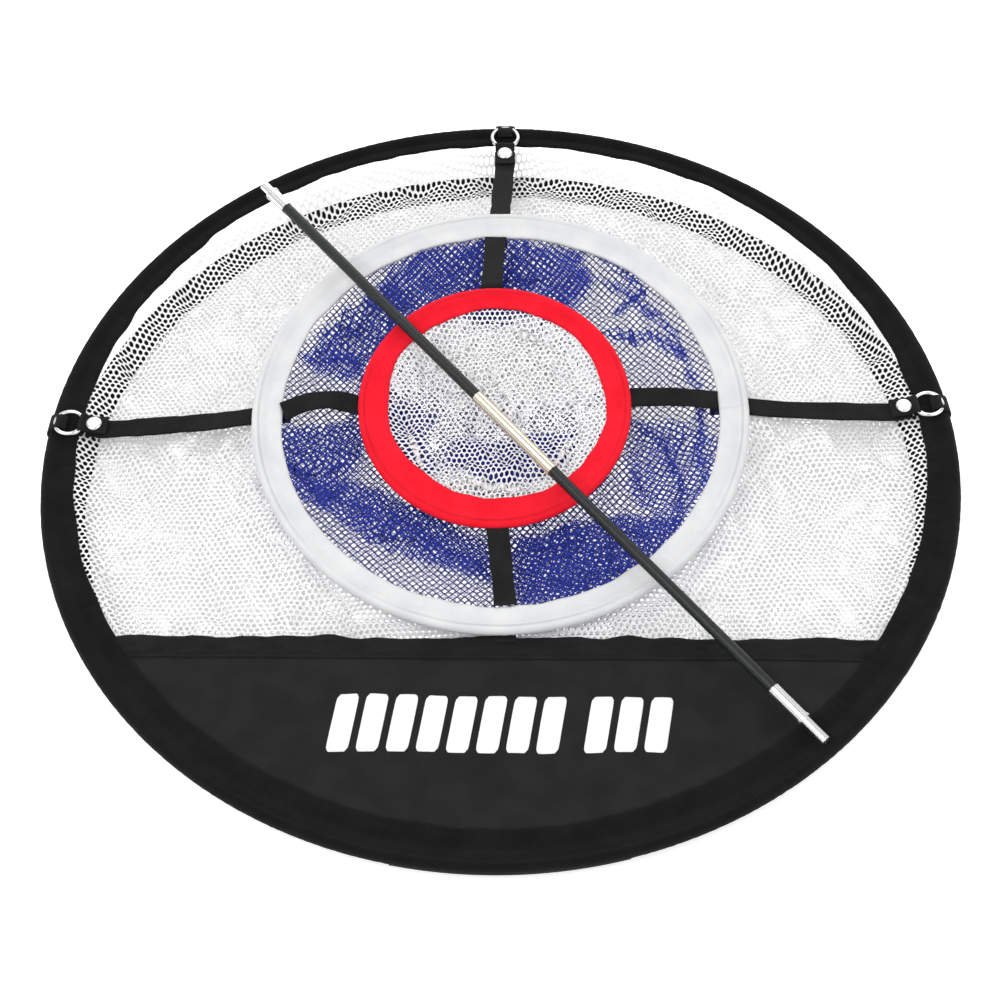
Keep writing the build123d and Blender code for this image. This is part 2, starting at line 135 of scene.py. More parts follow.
def grid_quads(rows, columns, close_rows=False, close_columns=False):
    """Quads of a grid of points numbered row by row."""
    r = np.arange(rows if close_rows else rows - 1)
    c = np.arange(columns if close_columns else columns - 1)
    r, c = np.meshgrid(r, c, indexing="ij")
    r2, c2 = (r + 1) % rows, (c + 1) % columns
    corners = [r * columns + c, r * columns + c2, r2 * columns + c2, r2 * columns + c]
    return np.stack(corners, -1).reshape(-1, 4)


def slab_quads(rows, columns):
    """Quads of two grids of points, one numbered after the other, joined round their rim."""
    quads = grid_quads(rows, columns)
    n = rows * columns
    ids = np.arange(n).reshape(rows, columns)
    loop = np.concatenate([ids[0, :-1], ids[:-1, -1], ids[-1, :0:-1], ids[:0:-1, 0]])
    after = np.roll(loop, -1)
    rim = np.stack([loop, loop + n, after + n, after], -1)
    return np.concatenate([quads, quads[:, ::-1] + n, rim])


# ---------------------------------------------------------------- materials
def material(name, colour, rough=0.8, metallic=0.0, **sockets):
    """A Principled material with its uniform values on the shader's own sockets.

    Returns the material, its nodes, its links and the shader.
    """
    mat = bpy.data.materials.new(name)
    mat.use_nodes = True
    nodes, links = mat.node_tree.nodes, mat.node_tree.links
    shader = nodes["Principled BSDF"]
    shader.inputs["Base Color"].default_value = (*colour, 1)
    shader.inputs["Roughness"].default_value = rough
    shader.inputs["Metallic"].default_value = metallic
    for socket, value in sockets.items():
        shader.inputs[socket.replace("_", " ")].default_value = value
    return mat, nodes, links, shader


def texture(nodes, links, kind, scale, source="Object", stretch=(1, 1, 1), **values):
    """A procedural texture node in metres of the object's own space, or of its UV lay."""
    coords = nodes.new("ShaderNodeTexCoord")
    place = nodes.new("ShaderNodeMapping")
    place.inputs["Scale"].default_value = [scale * v for v in stretch]
    links.new(coords.outputs[source], place.inputs["Vector"])
    node = nodes.new(kind)
    for key, value in values.items():
        if key in node.inputs:
            node.inputs[key].default_value = value
        else:
            setattr(node, key, value)
    if "Scale" not in values and "Scale" in node.inputs:
        node.inputs["Scale"].default_value = 1.0
    links.new(place.outputs["Vector"], node.inputs["Vector"])
    return node


def tint(nodes, links, shader, factor, dark, light, low=0.35, high=0.65):
    """Base colour that varies between two colours with a texture's output."""
    ramp = nodes.new("ShaderNodeValToRGB")
    ramp.color_ramp.elements[0].position, ramp.color_ramp.elements[1].position = low, high
    ramp.color_ramp.elements[0].color, ramp.color_ramp.elements[1].color = (*dark, 1), (*light, 1)
    links.new(factor, ramp.inputs["Fac"])
    links.new(ramp.outputs["Color"], shader.inputs["Base Color"])


def relief(nodes, links, shader, factors, distance):
    """Bump from one or more texture outputs added together; distance is in metres."""
    total = factors[0]
    for other in factors[1:]:
        add = nodes.new("ShaderNodeMath")
        add.operation = "ADD"
        links.new(total, add.inputs[0])
        links.new(other, add.inputs[1])
        total = add.outputs[0]
    node = nodes.new("ShaderNodeBump")
    node.inputs["Strength"].default_value = 1.0
    node.inputs["Distance"].default_value = distance
    links.new(total, node.inputs["Height"])
    links.new(node.outputs["Normal"], shader.inputs["Normal"])


def woven(name, colour, light, rough, sheen, pitch, depth, source="UV", rib=(1, 1)):
    """Woven cloth: threads both ways at pitch millimetres, with cloudy colour and a little sheen."""
    soft = {"Sheen_Weight": sheen, "Sheen_Roughness": 0.5, "Specular_IOR_Level": 0.14}
    mat, n, k, s = material(name, colour, rough, **soft)
    per_metre = 1000 / pitch / 2
    threads = []
    for direction, share in zip("XY", rib):
        bands = {"bands_direction": direction, "Distortion": 0.6}
        threads.append(texture(n, k, "ShaderNodeTexWave", 1, source, (per_metre * share,) * 3, **bands))
    cloud = texture(n, k, "ShaderNodeTexNoise", 60, "Object", Detail=4.0)
    tint(n, k, s, cloud.outputs["Fac"], colour, light)
    relief(n, k, s, [thread.outputs["Fac"] for thread in threads], depth)
    return mat


def netting(name, colour, rough=0.6, sheen=0.1):
    """Knitted polyester strands: a plain colour with a fine twist in the yarn."""
    soft = {"Sheen_Weight": sheen, "Sheen_Roughness": 0.4, "Specular_IOR_Level": 0.3}
    mat, n, k, s = material(name, colour, rough, **soft)
    twist = texture(n, k, "ShaderNodeTexNoise", 2600, "Object", Detail=1.0)
    relief(n, k, s, [twist.outputs["Fac"]], 0.0002)
    return mat


def metal(name, colour, rough, grain, depth, length=1.0):
    """Metal with fine drawing or turning marks."""
    mat, n, k, s = material(name, colour, rough, 1.0)
    marks = texture(n, k, "ShaderNodeTexNoise", grain, "Object", (1, 1, length), Detail=3.0)
    relief(n, k, s, [marks.outputs["Fac"]], depth)
    spread = n.new("ShaderNodeMapRange")
    spread.inputs["To Min"].default_value = max(rough - 0.08, 0.03)
    spread.inputs["To Max"].default_value = rough + 0.12
    k.new(marks.outputs["Fac"], spread.inputs["Value"])
    k.new(spread.outputs["Result"], s.inputs["Roughness"])
    return mat


BLACK_SLEEVE = woven(
    "black sleeve cloth", (0.003, 0.003, 0.0032), (0.006, 0.006, 0.0063),
    0.88, 0.03, 0.9, 0.00012, rib=(1, 0.8),
)
WHITE_SLEEVE = woven(
    "white sleeve cloth", (0.64, 0.65, 0.66), (0.71, 0.715, 0.72),
    0.75, 0.02, 0.7, 0.00005,
)
RED_SLEEVE = woven("red sleeve cloth", (0.80, 0.006, 0.02), (0.88, 0.010, 0.028), 0.75, 0.02, 0.7, 0.00006)
PANEL = woven(
    "coated panel cloth", (0.0075, 0.0075, 0.008), (0.0115, 0.0115, 0.012),
    0.65, 0.02, 0.5, 0.00002,
)
BINDING = woven("binding tape", (0.006, 0.006, 0.0063), (0.010, 0.010, 0.0105), 0.8, 0.04, 0.8, 0.00008)
WEBBING = woven(
    "black webbing", (0.006, 0.006, 0.0065), (0.011, 0.011, 0.0115),
    0.8, 0.04, 1.1, 0.00022, rib=(1, 0.6),
)
WHITE_NET = netting("white netting", (0.84, 0.84, 0.845))
# One blue netting in two colours: the difference between the top sheet's navy and the layers' bright blue
# is painted light and shade.
BLUE_NET_PAINTED_DARKER = netting("blue netting", (0.006, 0.010, 0.11), 0.6, 0.02)
BLUE_SLACK_PAINTED_LIGHTER = netting("blue netting in layers, painted lighter", (0.02, 0.05, 0.55), 0.6, 0.02)
CENTRE_NET = netting("fine white netting", (0.85, 0.85, 0.86))
SPRING = metal("spring steel", (0.42, 0.42, 0.43), 0.35, 3000, 0.00002, 0.05)
PLATE = metal("nickel plate", (0.80, 0.80, 0.81), 0.16, 900, 0.00001)
FERRULE = metal("champagne ferrule", (0.66, 0.62, 0.5), 0.25, 1500, 0.00002)
END = metal("turned end", (0.82, 0.83, 0.84), 0.2, 1800, 0.00003)


def rod_material():
    mat, n, k, s = material("pultruded rod", (0.012, 0.014, 0.0145), 0.4, Specular_IOR_Level=0.35)
    streak = texture(n, k, "ShaderNodeTexNoise", 500, "Object", Detail=4.0)
    tint(n, k, s, streak.outputs["Fac"], (0.006, 0.0075, 0.008), (0.013, 0.0155, 0.016))
    relief(n, k, s, [streak.outputs["Fac"]], 0.00003)
    return mat


def print_material():
    mat, n, k, s = material("screen print ink", (0.9, 0.9, 0.9), 0.55)
    grain = texture(n, k, "ShaderNodeTexNoise", 900, "Object", Detail=3.0)
    tint(n, k, s, grain.outputs["Fac"], (0.82, 0.82, 0.82), (0.92, 0.92, 0.92), 0.3, 0.6)
    relief(n, k, s, [grain.outputs["Fac"]], 0.00004)
    return mat


ROD = rod_material()
INK = print_material()
ELASTIC = woven(
    "braided elastic", (0.7, 0.7, 0.68), (0.8, 0.8, 0.78),
    0.8, 0.2, 0.6, 0.0001, source="Object",
)

SLOT_MATERIALS = {
    "spring_steel": SPRING,
    "plated_steel": PLATE,
    "black_rod": ROD,
    "ferrule": FERRULE,
    "end_fitting": END,
    "elastic": ELASTIC,
    "black_webbing": WEBBING,
}
SLOT_OF = {part["node"]: part["material_slot"] for part in frame["record"]["subparts"]}
for node in frame["nodes"]:
    if SLOT_OF[node] in SLOT_MATERIALS:
        cad = bpy.data.objects[node] if node in bpy.data.objects else frame["nodes"][node]
        cad.data.materials.clear()
        cad.data.materials.append(SLOT_MATERIALS[SLOT_OF[node]])


# ---------------------------------------------------------------- sleeves
def sleeve(
    name,
    hoop,
    body,
    wire_radius,
    bead,
    width,
    tail,
    material,
    steps,
    seed,
    extra=None,
    pucker=0.25,
    edge=0.5,
    lift=0.0,
    seam=0.0,
):
    """A cloth sleeve round a hoop: round over the wire, stitched behind it, its flat uneven tail inwards.

    width is the whole width in millimetres and extra(angle) widens it; lift raises the profile's middle
    line, and seam is the angle in degrees where the sleeve's ends are sewn together.
    """
    section = 26
    angles = np.arange(steps) * 2 * PI / steps
    grow = extra(angles) if extra else np.zeros(steps)
    rough = ripple(seed, 9, 18, 90)
    fine = ripple(seed + 1, 10, 2.6, 7)
    ring_x, ring_y = wire_radius * np.cos(angles), wire_radius * np.sin(angles)
    points, lay = [], []
    for k in range(section):
        # The outline runs over the top from the tail's edge, round the bead and back underneath
        if k < 9:
            along, side = 1 - k / 9, 1
        elif k <= 17:
            along, side = None, None
        else:
            along, side = (k - 17) / 8, -1
        if along is None:
            turn = PI / 2 - (k - 9) / 8 * PI
            out = bead * math.cos(turn) * np.ones(steps)
            high = bead * math.sin(turn) * np.ones(steps)
            push = fine(ring_x + 7, ring_y) * 0.06
            out, high = out + push * math.cos(turn), high + push * math.sin(turn)
            across = (turn / PI) * 3.1 * bead
        else:
            reach = (width - bead + grow) * along
            neck = bead + (tail - bead) * smooth(along * 1.9)
            stitch = -0.45 * bump_at(along - 0.46, 0.09) * min(tail, 1.0)
            out = -reach
            wave = pucker * smooth((along - 0.2) * 2) * (fine(ring_x, ring_y) * 0.7 + rough(ring_x, ring_y))
            high = side * (neck + stitch) + wave + 0.25 * side * fine(ring_x * 1.3, ring_y) * pucker
            if along > 0.9:
                out = out + edge * rough(ring_x * 1.4 + 50, ring_y) * smooth((along - 0.85) / 0.15)
                high = high * (0.75 if along > 0.99 else 1)
            across = -side * reach.mean() - side * bead
        radius = wire_radius + out
        gap = np.abs((angles - math.radians(seam) + PI) % (2 * PI) - PI) * wire_radius
        high = high - np.sign(high) * 0.35 * bump_at(gap, 1.6)
        points.append(np.stack([radius * np.cos(angles), radius * np.sin(angles), high + lift], -1))
        lay.append(np.stack([angles * wire_radius, np.full(steps, float(np.mean(across)))], -1))
    points, lay = np.concatenate(points), np.concatenate(lay)
    obj = mesh_piece(name, hoop.world(points), grid_quads(section, steps, True, True), material, lay)
    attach(obj, body)
    return obj


def front_growth(angles):
    """The big sleeve is wider at the front, where it takes in the panel's hem: extra millimetres."""
    away = np.abs((angles + PI / 2 + PI) % (2 * PI) - PI)
    return 8.5 * smooth(1.25 - away / 1.5) - 4.0 * smooth((away - 1.7) / 1.0)


big_ring = sleeve(
    "target_sleeve",
    target,
    "target_frame",
    wire_radius=TARGET_WIRE,
    bead=3.6,
    width=17.0,
    tail=1.1,
    material=BLACK_SLEEVE,
    steps=1500,
    seed=3,
    extra=front_growth,
    pucker=0.16,
    edge=0.55,
    seam=268.8,
)
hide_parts("target_hoop_sleeve")
low_ring = sleeve(
    "base_sleeve",
    base,
    "base",
    wire_radius=BASE_WIRE,
    bead=3.5,
    width=17.0,
    tail=1.1,
    material=BLACK_SLEEVE,
    steps=900,
    seed=7,
    pucker=0.1,
    edge=0.6,
    lift=3.55,
    seam=90,
)
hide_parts("base_hoop_sleeve")
white_ring = sleeve(
    "middle_sleeve",
    middle,
    "middle_hoop",
    wire_radius=135.3,
    bead=3.2,
    width=16.5,
    tail=1.0,
    material=WHITE_SLEEVE,
    steps=720,
    seed=11,
    edge=0.35,
    seam=271,
)
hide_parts("middle_hoop_sleeve")


def red_growth(angles):
    """The red sleeve's inner edge is pulled straight between its stitches, so its width is uneven."""
    low_left = bump_at((angles - 4.2 + PI) % (2 * PI) - PI, 1.9)
    scallops = 1.2 * np.abs(np.sin(angles * 3.5 + 0.6)) ** 1.5
    return scallops + 4.6 * low_left - 1.6 * bump_at(angles - 1.2, 1.1)


red_ring = sleeve(
    "centre_sleeve",
    centre,
    "centre_hoop",
    wire_radius=73.2,
    bead=2.8,
    width=13.6,
    tail=0.9,
    material=RED_SLEEVE,
    steps=480,
    seed=15,
    extra=red_growth,
    pucker=0.3,
    edge=0.4,
    seam=262,
)
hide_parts("centre_hoop_sleeve")


# ---------------------------------------------------------------- netting
def honeycomb(pitch, hole, inside, size):
    """A flat knitted mesh with six-sided holes, made where inside(x, y) says, up to size from the middle.

    pitch is the distance between holes and hole the holes' width across. Returns what web returns.
    """
    row = pitch * math.sqrt(3) / 2
    n = int(size / row) + 2
    i, j = np.meshgrid(np.arange(-n, n + 1), np.arange(-n, n + 1), indexing="ij")
    cx = (j + 0.5 * (i % 2)) * pitch
    cy = i * row
    cx, cy = cx.ravel(), cy.ravel()
    keep = inside(cx, cy)
    turns = np.arange(6) * PI / 3 + PI / 6
    ring = np.stack([np.cos(turns), np.sin(turns)], -1)
    return web(cx[keep], cy[keep], ring * (pitch / math.sqrt(3)), ring * (hole / math.sqrt(3)))


def diamonds(wide, tall, strand, inside, size):
    """A flat knotted mesh with diamond holes, wide by tall millimetres."""
    n = int(size / min(wide, tall)) * 2 + 2
    i, j = np.meshgrid(np.arange(-n, n + 1), np.arange(-n, n + 1), indexing="ij")
    cx = (j + 0.5 * (i % 2)) * wide
    cy = i * tall / 2
    cx, cy = cx.ravel(), cy.ravel()
    keep = inside(cx, cy)
    cx, cy = cx[keep], cy[keep]
    turns = np.arange(4) * PI / 2
    outer = np.stack([np.cos(turns) * wide / 2, np.sin(turns) * tall / 2], -1)
    shrink = 1 - strand / (wide * tall / math.hypot(wide, tall))
    return web(cx, cy, outer, outer * shrink)


def web(cx, cy, outer, inner):
    """Ribbons between the outline of each cell and of its hole; neighbours share their outlines' points.

    Returns points (N, 2), quads (M, 4), the cell of each quad, and the cells' centres.
    """
    sides = len(outer)
    place = np.stack([cx, cy], -1)[:, None, :]
    corners = (place + outer[None]).reshape(-1, 2)
    holes = (place + inner[None]).reshape(-1, 2)
    key = np.round(corners * 50).astype(np.int64)
    _, first, same = np.unique(key, axis=0, return_index=True, return_inverse=True)
    same = same.reshape(-1, sides)
    inner_ids = len(first) + np.arange(len(holes)).reshape(-1, sides)
    after = np.roll(np.arange(sides), -1)
    quads = np.stack([same, same[:, after], inner_ids[:, after], inner_ids], -1).reshape(-1, 4)
    return np.concatenate([corners[first], holes]), quads, np.repeat(np.arange(len(cx)), sides), (cx, cy)


def flat_area(points, quads):
    """Area in square metres of flat quads."""
    a, b, c, d = (points[quads[:, k]] for k in range(4))
    p, q = c - a, d - b
    return float(np.abs(p[:, 0] * q[:, 1] - p[:, 1] * q[:, 0]).sum() / 2) * 1e-6


def fold(points, lift, at, direction, length, width, depth, rise):
    """A pleat: cloth beyond a line is pulled back over it by depth, which lays three layers on each other.

    points (N, 2) and lift (N,) are changed. The pleat is length long about at, across direction (degrees).
    """
    c, s = math.cos(math.radians(direction)), math.sin(math.radians(direction))
    d = (points[:, 0] - at[0]) * c + (points[:, 1] - at[1]) * s
    e = -(points[:, 0] - at[0]) * s + (points[:, 1] - at[1]) * c
    window = bump_at(e, length / 2)
    pull = depth * window * (smooth(d / width + 0.5) - 0.5) * bump_at(d, width * 4)
    lift += rise * window * bump_at(d, width * 0.9)
    points[:, 0] -= pull * c
    points[:, 1] -= pull * s


def use(quads, keep):
    """The points that the quads in keep use, and those quads with their points renumbered."""
    quads = quads[keep]
    used, renumbered = np.unique(quads, return_inverse=True)
    return used, renumbered.reshape(quads.shape)


# The side net folds inwards along a twelve-sided line under the middle hoop. Each of its two sheets is made
# in twelve sectors about that hoop.
SECTORS = 12
FOLD_REACH = 128.0
HUB = MIDDLE_PLACE[:2]
MESH_PITCH = 3.3
UPPER_EDGE, LOWER_EDGE, LOWER_SHIFT = 239.5, 234.5, 0.4


def hub_polar(x, s):
    return np.hypot(x - HUB[0], s - HUB[1]), np.arctan2(s - HUB[1], x - HUB[0]) % (2 * PI)


def sector_reach(x, s):
    """(sector, distance from the hub measured along the sector's middle)."""
    r, a = hub_polar(x, s)
    sector = np.floor(a / (2 * PI / SECTORS)).astype(int) % SECTORS
    return sector, r * np.cos(a - (sector + 0.5) * 2 * PI / SECTORS)


def ring_height(s):
    """Height of the middle hoop's plane over the target plane, in millimetres."""
    return MIDDLE_PLACE[2] + math.tan(math.radians(MIDDLE_TILT)) * (s - MIDDLE_PLACE[1])


rumple_a, rumple_b, rumple_c = ripple(21, 12, 45, 150), ripple(22, 14, 14, 45), ripple(23, 16, 7, 16)


def upper_height(x, s):
    """Height of the side net's upper sheet over the target plane."""
    r = np.hypot(x, s)
    _, reach = sector_reach(x, s)
    t = np.clip((reach - FOLD_REACH) / np.maximum(238.5 - r + reach - FOLD_REACH, 1), 0, 1)
    gap = target.world(np.stack([x, s, np.zeros_like(x)], -1))[:, 2]
    near_ring = ring_height(s) - 7.0
    level = near_ring * (1 - smooth(t * 1.15)) - 0.6 * smooth(t)
    sag = np.minimum(0.5 * (gap - 9), 19) * smooth(t / 0.3) * smooth((1 - t) / 0.16)
    free = smooth(t / 0.12) * smooth((1 - t) / 0.08)
    room = np.clip((gap - 6) / 22, 0.12, 1)
    rough = (2.8 * rumple_a(x, s) + 2.2 * rumple_b(x, s) + 0.45 * rumple_c(x, s)) * free * room
    ridge = 1.5 * np.sin(2 * PI * (r + 9 * rumple_a(x, s)) / 25) * smooth((s - 20) / 90) * free
    height = level - sag + rough + ridge
    # Under the front panel the sheet stays below the cloth
    height = np.minimum(height, 40 * (1 - smooth((-104 - s) / 10)) - 3.2)
    floor = (6.5 - gap) / 0.997
    return np.maximum(height, floor)


def lower_height(x, s):
    """Height over the ground of the side net's lower sheet."""
    top = target.world(np.stack([x, s, upper_height(x, s)], -1))[:, 2]
    r = np.hypot(x, s - LOWER_SHIFT)
    _, reach = sector_reach(x, s)
    t = np.clip((reach - FOLD_REACH) / np.maximum(233 - r + reach - FOLD_REACH, 1), 0, 1)
    level = (top - 0.2) * (1 - smooth(t * 1.6)) + 3.6 * smooth(t * 1.6)
    free = smooth(t / 0.15) * smooth((1 - t) / 0.1)
    wave = (1.6 * rumple_b(x + 60, s) + 0.6 * rumple_c(x + 60, s)) * free
    return np.clip(level + wave, 3.2, np.maximum(top - 0.9, 3.3))


def side_net(label, world_of, inside, start, end, hole):
    """One sheet of the side net, a piece for each sector; a and b, at reaches start and end along its
    middle, are not used.
    """
    points, quads, of_cell, (cx, cy) = honeycomb(MESH_PITCH, hole, inside, 262)
    sector, _ = sector_reach(cx, cy)
    for k in range(SECTORS):
        used, q = use(quads, sector[of_cell] == k)
        if not len(q):
            continue
        flat = points[used]
        x, s = flat[:, 0].copy(), flat[:, 1].copy()
        place = world_of(x, s)
        obj = mesh_piece(f"side_net_{label}_{k + 1}", place, q, WHITE_NET)
        turn = (k + 0.5) * 2 * PI / SECTORS
        lead = np.array([math.cos(turn), math.sin(turn), 0])
        hub = np.array([HUB[0], HUB[1], 0])
        a, b = ((target.world([hub + lead * d])[0] * MM) for d in (start, end))
        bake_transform(obj)
        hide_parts("side_net")


def upper_world(x, s):
    return target.world(np.stack([x, s, upper_height(x, s)], -1))


def lower_world(x, s):
    flat = target.world(np.stack([x, s, np.zeros_like(x)], -1))
    return np.stack([flat[:, 0], flat[:, 1], lower_height(x, s)], -1)


def in_upper(x, s):
    return (sector_reach(x, s)[1] > FOLD_REACH) & (np.hypot(x, s) < UPPER_EDGE)


def in_lower(x, s):
    return (sector_reach(x, s)[1] > FOLD_REACH) & (np.hypot(x, s - LOWER_SHIFT) < LOWER_EDGE)


side_net("upper", upper_world, in_upper, 48.0, 208.0, 2.25)
side_net("lower", lower_world, in_lower, 196.0, 60.0, 2.1)


# Pleats of the floor net: place, direction, length and depth
FLOOR_FOLDS = [(-60, 40, 30, 130, 9), (70, -30, 115, 120, 8), (20, 90, 80, 140, 9), (-120, -80, 10, 100, 7)]


def floor_net():
    points, quads, _, _ = honeycomb(3.5, 2.4, lambda x, y: np.hypot(x, y) < LOWER_EDGE, 238)
    lift = np.zeros(len(points))
    for x, y, direction, length, depth in FLOOR_FOLDS:
        fold(points, lift, (x, y), direction, length, 8, depth, 0.8)
    x, y = points[:, 0], points[:, 1]
    rough = rumple_b(x - 90, y) * 0.5 + rumple_c(x - 90, y) * 0.2
    near = smooth((234 - np.hypot(x, y)) / 10)
    z = 1.6 + (0.5 + rough * 0.5 + lift) * near
    place = base.world(np.column_stack([points, np.maximum(z, 0.7)]))
    obj = mesh_piece("floor_net_web", place, quads, WHITE_NET)
    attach(obj, "base")
    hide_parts("floor_net")


floor_net()


def in_polygon(x, y, corners):
    inside = np.zeros(np.shape(x), bool)
    for (x0, y0), (x1, y1) in zip(corners, corners[1:] + corners[:1]):
        crosses = (y0 > y) != (y1 > y)
        inside ^= crosses & (x < (x1 - x0) * (y - y0) / ((y1 - y0) or 1e-9) + x0)
    return inside


def turned(points, degrees):
    c, s = math.cos(math.radians(degrees)), math.sin(math.radians(degrees))
    return points @ np.array([[c, s], [-s, c]])


def bag(name, hoop, body, make, rim, height, patches, folds, material, layered, replaced, seed):
    """A net bag laid flat: one sheet across the hoop, and the slack under it in patches of extra layers.

    make(inside, size) makes the mesh and rim is where it is sewn on.
    """
    points, quads, _, _ = make(lambda x, y: np.hypot(x, y) < rim, rim + 8)
    lift = np.zeros(len(points))
    for f in folds:
        fold(points, lift, *f)
    r = np.hypot(points[:, 0], points[:, 1])
    points *= np.minimum(1, rim / np.maximum(r, 1))[:, None]
    h = height(points[:, 0], points[:, 1]) + lift * smooth((rim - r) / 10)
    top = mesh_piece(name, hoop.world(np.column_stack([points, h])), quads, material)
    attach(top, body)
    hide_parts(*replaced)
    rng = np.random.default_rng(seed)
    all_points, all_quads, count, flat_total = [], [], 0, 0.0
    for corners, layers in patches:
        for layer in range(layers):
            angle = rng.uniform(-35, 35)
            c, s = math.cos(math.radians(angle)), math.sin(math.radians(angle))
            spot = np.mean(corners, axis=0)
            grown = [tuple(spot + (np.array(k) - spot) * rng.uniform(0.9, 1.12)) for k in corners]
            points, quads, _, _ = make(
                lambda x, y: in_polygon(x * c - y * s, x * s + y * c, grown) & (np.hypot(x, y) < rim),
                rim + 8,
            )
            if not len(quads):
                continue
            flat_total += flat_area(points, quads)
            points = turned(points, angle)
            lift = np.zeros(len(points))
            for _ in range(5):
                at = spot + rng.uniform(-22, 22, 2)
                direction, length, depth = rng.uniform(0, 180), rng.uniform(30, 80), rng.uniform(4, 9)
                fold(points, lift, tuple(at), direction, length, 4, depth, 0.5)
            r = np.hypot(points[:, 0], points[:, 1])
            points *= np.minimum(1, rim / np.maximum(r, 1))[:, None]
            under = 1.3 * (layer + 1) + 0.5
            h = height(points[:, 0] + 3 * layer, points[:, 1]) - under * smooth((rim + 2 - r) / 8) + lift
            all_points.append(np.column_stack([points, h]))
            all_quads.append(quads + count)
            count += len(points)
    place = hoop.world(np.concatenate(all_points))
    slack = mesh_piece(f"{name}_slack", place, np.concatenate(all_quads), layered)
    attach(slack, body)


wave_m, wave_n = ripple(41, 12, 30, 90), ripple(42, 14, 9, 24)


def blue_height(x, s):
    r = np.hypot(x, s)
    down = smooth((123 - r) / 26)
    return -0.8 - 8.5 * down + (1.6 * wave_m(x, s) + 0.7 * wave_n(x, s)) * down


def blue_mesh(inside, size):
    return diamonds(4.3, 4.3, 0.7, inside, size)


# Where the slack lies in extra layers: an outline in the hoop's millimetres and the number of layers
BLUE_PATCHES = [
    ([(-72, 84), (-50, 116), (0, 123), (48, 112), (58, 96), (34, 74), (-30, 74)], 3),
    ([(-60, 102), (-100, 62), (-108, 40), (-84, 30), (-66, 52), (-48, 84)], 2),
    ([(-123, -4), (-118, -44), (-96, -60), (-80, -24), (-72, 8)], 2),
    ([(-108, -38), (-92, -60), (-45, -84), (0, -106), (8, -84), (-40, -58), (-80, -34)], 2),
    ([(4, -74), (4, -122), (50, -112), (78, -96), (98, -70), (66, -58), (40, -66)], 3),
    ([(70, 4), (70, -44), (94, -82), (116, -56), (121, -22), (100, 2)], 1),
    ([(-70, 34), (-72, -16), (-46, -30), (-36, 8)], 4),
    ([(-26, -8), (-32, -50), (6, -56), (10, -14)], 4),
    ([(16, -6), (14, -38), (44, -42), (48, -8)], 4),
    ([(-50, -20), (-40, -56), (20, -70), (60, -40), (70, 0), (30, -10), (-20, -12)], 2),
    ([(-20, 84), (-16, 60), (26, 58), (30, 84)], 3),
]
# Pleats: place, direction, length, width, depth and rise, as fold takes them
BLUE_FOLDS = [
    ((-96, 66), 140, 70, 9.0, 8, 0.8),
    ((-60, -74), 65, 90, 9.0, 8, 0.8),
    ((96, -52), -25, 70, 9.0, 8, 0.8),
    ((0, 40), 70, 90, 10.0, 10, 1),
    ((-20, -20), 20, 80, 10.0, 10, 1),
]


def strip(path, wide):
    """The outline of a narrow strip along a path: where the slack is pinched into a line."""
    path = np.asarray(path, float)
    along = np.gradient(path, axis=0)
    side = np.stack([-along[:, 1], along[:, 0]], -1) / np.linalg.norm(along, axis=1)[:, None] * wide / 2
    return [tuple(k) for k in np.concatenate([path + side, (path - side)[::-1]])]


for path in (
    [(36, 124), (58, 112), (78, 92), (84, 84), (68, 72)],
    [(60, 96), (84, 78), (100, 52), (110, 22), (113, 0)],
    [(66, 60), (90, 56), (104, 40)],
    [(76, 0), (92, -20), (98, -48), (92, -74)],
    [(113, 6), (108, -24), (112, -50)],
    [(-112, 44), (-84, 48), (-76, 30), (-84, 8)],
    [(-118, -30), (-92, -46), (-52, -66), (-14, -92)],
):
    BLUE_PATCHES.append((strip(path, 5.0), 2))
bag(
    "middle_net_web",
    middle,
    "middle_hoop",
    make=blue_mesh,
    rim=123.6,
    height=blue_height,
    patches=BLUE_PATCHES,
    folds=BLUE_FOLDS,
    material=BLUE_NET_PAINTED_DARKER,
    layered=BLUE_SLACK_PAINTED_LIGHTER,
    replaced=["middle_net", "middle_net_floor"],
    seed=43,
)

wave_c, wave_d = ripple(51, 12, 16, 44), ripple(52, 14, 6, 14)


def centre_height(x, s):
    r = np.hypot(x, s)
    down = smooth((62 - r) / 12)
    puff = 6.5 * bump_at(np.hypot(x - 12, s - 26), 40)
    return -0.6 + (-5.0 + puff + 2.2 * wave_c(x, s) + 1.3 * wave_d(x, s)) * down


def centre_mesh(inside, size):
    return honeycomb(2.9, 2.1, inside, size)


CENTRE_PATCHES = [
    ([(-46, 42), (-18, 58), (0, 54), (26, 60), (50, 38), (58, 8), (44, 0), (8, 6), (-20, 2), (-34, 20)], 3),
    ([(-30, 36), (-12, 50), (20, 52), (40, 34), (38, 14), (6, 10), (-18, 14)], 3),
    (
        [(-30, -30), (-36, -50), (-6, -62), (36, -50), (56, -26)]
        + [(60, 4), (46, -4), (44, -26), (28, -42), (0, -46)],
        3,
    ),
    ([(-58, 30), (-60, 16), (-44, 12), (-36, 30), (-46, 44)], 1),
    ([(-8, 4), (-12, -10), (14, -8), (18, 6)], 1),
]
CENTRE_FOLDS = [
    ((-26, 34), 120, 60, 2.6, 8, 0.9),
    ((22, 44), 60, 56, 2.6, 8, 0.9),
    ((44, 6), 10, 60, 2.6, 7, 0.8),
    ((-44, -26), 200, 44, 2.4, 7, 0.8),
    ((0, -48), 80, 70, 2.6, 8, 0.8),
    ((6, 8), 30, 50, 2.6, 7, 0.9),
    ((-14, 14), 95, 50, 2.4, 7, 0.9),
    ((34, -34), 140, 40, 2.4, 6, 0.7),
]
bag(
    "centre_net_web",
    centre,
    "centre_hoop",
    make=centre_mesh,
    rim=63.0,
    height=centre_height,
    patches=CENTRE_PATCHES,
    folds=CENTRE_FOLDS,
    material=CENTRE_NET,
    layered=CENTRE_NET,
    replaced=["centre_net", "centre_net_floor"],
    seed=53,
)


